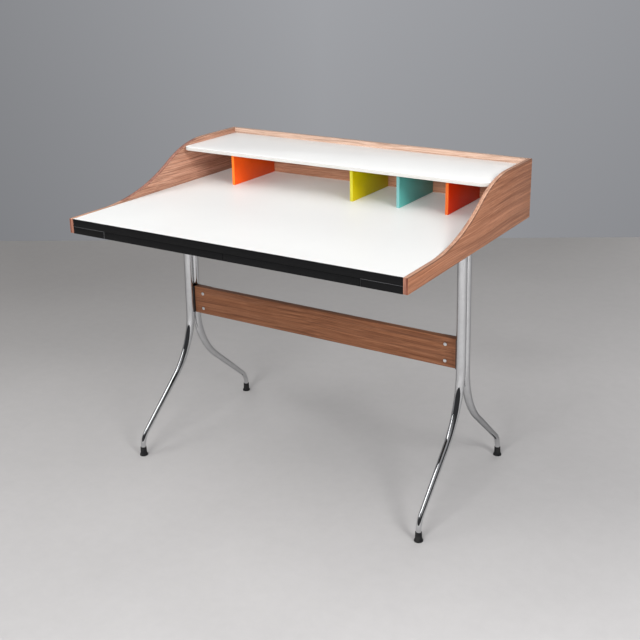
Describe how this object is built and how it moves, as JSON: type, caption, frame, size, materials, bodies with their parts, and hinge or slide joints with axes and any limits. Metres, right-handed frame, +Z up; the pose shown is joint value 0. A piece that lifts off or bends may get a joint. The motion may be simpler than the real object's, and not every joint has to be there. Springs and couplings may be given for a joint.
{
  "type": "writing desk",
  "caption": "Writing desk with walnut sides, a white top under a shelf on coloured dividers, thin hidden drawers and bent chrome legs.",
  "frame": {"origin": "on the floor, in the middle of the desk's width and depth", "axes": "+X to the user's right, +Y to the back, +Z up"},
  "size_m": [0.991, 0.724, 0.876],
  "materials": {
    "walnut": "oiled, satin",
    "white_laminate": "smooth laminate, semi-gloss",
    "black_lacquer": "black lacquer, semi-gloss",
    "fibreboard": "raw, matte",
    "hardwood": "sanded, matte",
    "orange_paint": "satin lacquer",
    "lime_paint": "satin lacquer",
    "turquoise_paint": "satin lacquer",
    "vermilion_paint": "satin lacquer",
    "chrome_tube": "polished chrome",
    "bright_steel": "bright zinc",
    "black_steel": "black paint, satin",
    "black_rubber": "matte"
  },
  "bodies": {
    "frame": {"side_panel_left": "walnut", "side_panel_right": "walnut", "back_panel": "walnut", "desktop_core": "fibreboard", "desktop_laminate": "white_laminate", "desktop_front_edge": "black_lacquer", "upper_shelf": "white_laminate", "divider_orange": "orange_paint", "divider_lime": "lime_paint", "divider_turquoise": "turquoise_paint", "divider_vermilion": "vermilion_paint", "end_filler_left": "black_lacquer", "end_filler_right": "black_lacquer", "side_rail_left": "fibreboard", "side_rail_right": "fibreboard", "centre_rail": "fibreboard", "rear_rail": "fibreboard", "runner_left_outer": "hardwood", "runner_left_inner": "hardwood", "runner_right_outer": "hardwood", "runner_right_inner": "hardwood", "leg_plate_screws": "bright_steel", "stretcher": "walnut", "stretcher_bolts": "bright_steel", "stretcher_nuts": "bright_steel", "leg_plate_left": "black_steel", "stretcher_bracket_left": "black_steel", "leg_tube_front_left": "chrome_tube", "leg_tube_rear_left": "chrome_tube", "foot_caps_left": "black_rubber", "leg_plate_right": "black_steel", "stretcher_bracket_right": "black_steel", "leg_tube_front_right": "chrome_tube", "leg_tube_rear_right": "chrome_tube", "foot_caps_right": "black_rubber"},
    "drawer_left": {"drawer_left_front": "black_lacquer", "drawer_left_side_inner": "hardwood", "drawer_left_side_outer": "hardwood", "drawer_left_back": "hardwood", "drawer_left_bottom": "fibreboard"},
    "drawer_right": {"drawer_right_front": "black_lacquer", "drawer_right_side_inner": "hardwood", "drawer_right_side_outer": "hardwood", "drawer_right_back": "hardwood", "drawer_right_bottom": "fibreboard"}
  },
  "joints": [
    {"name": "drawer_left_slide", "type": "slide", "parent": "frame", "child": "drawer_left", "axis": [0, -1, 0], "range_m": [0, 0.26]},
    {"name": "drawer_right_slide", "type": "slide", "parent": "frame", "child": "drawer_right", "axis": [0, -1, 0], "range_m": [0, 0.26]}
  ]
}
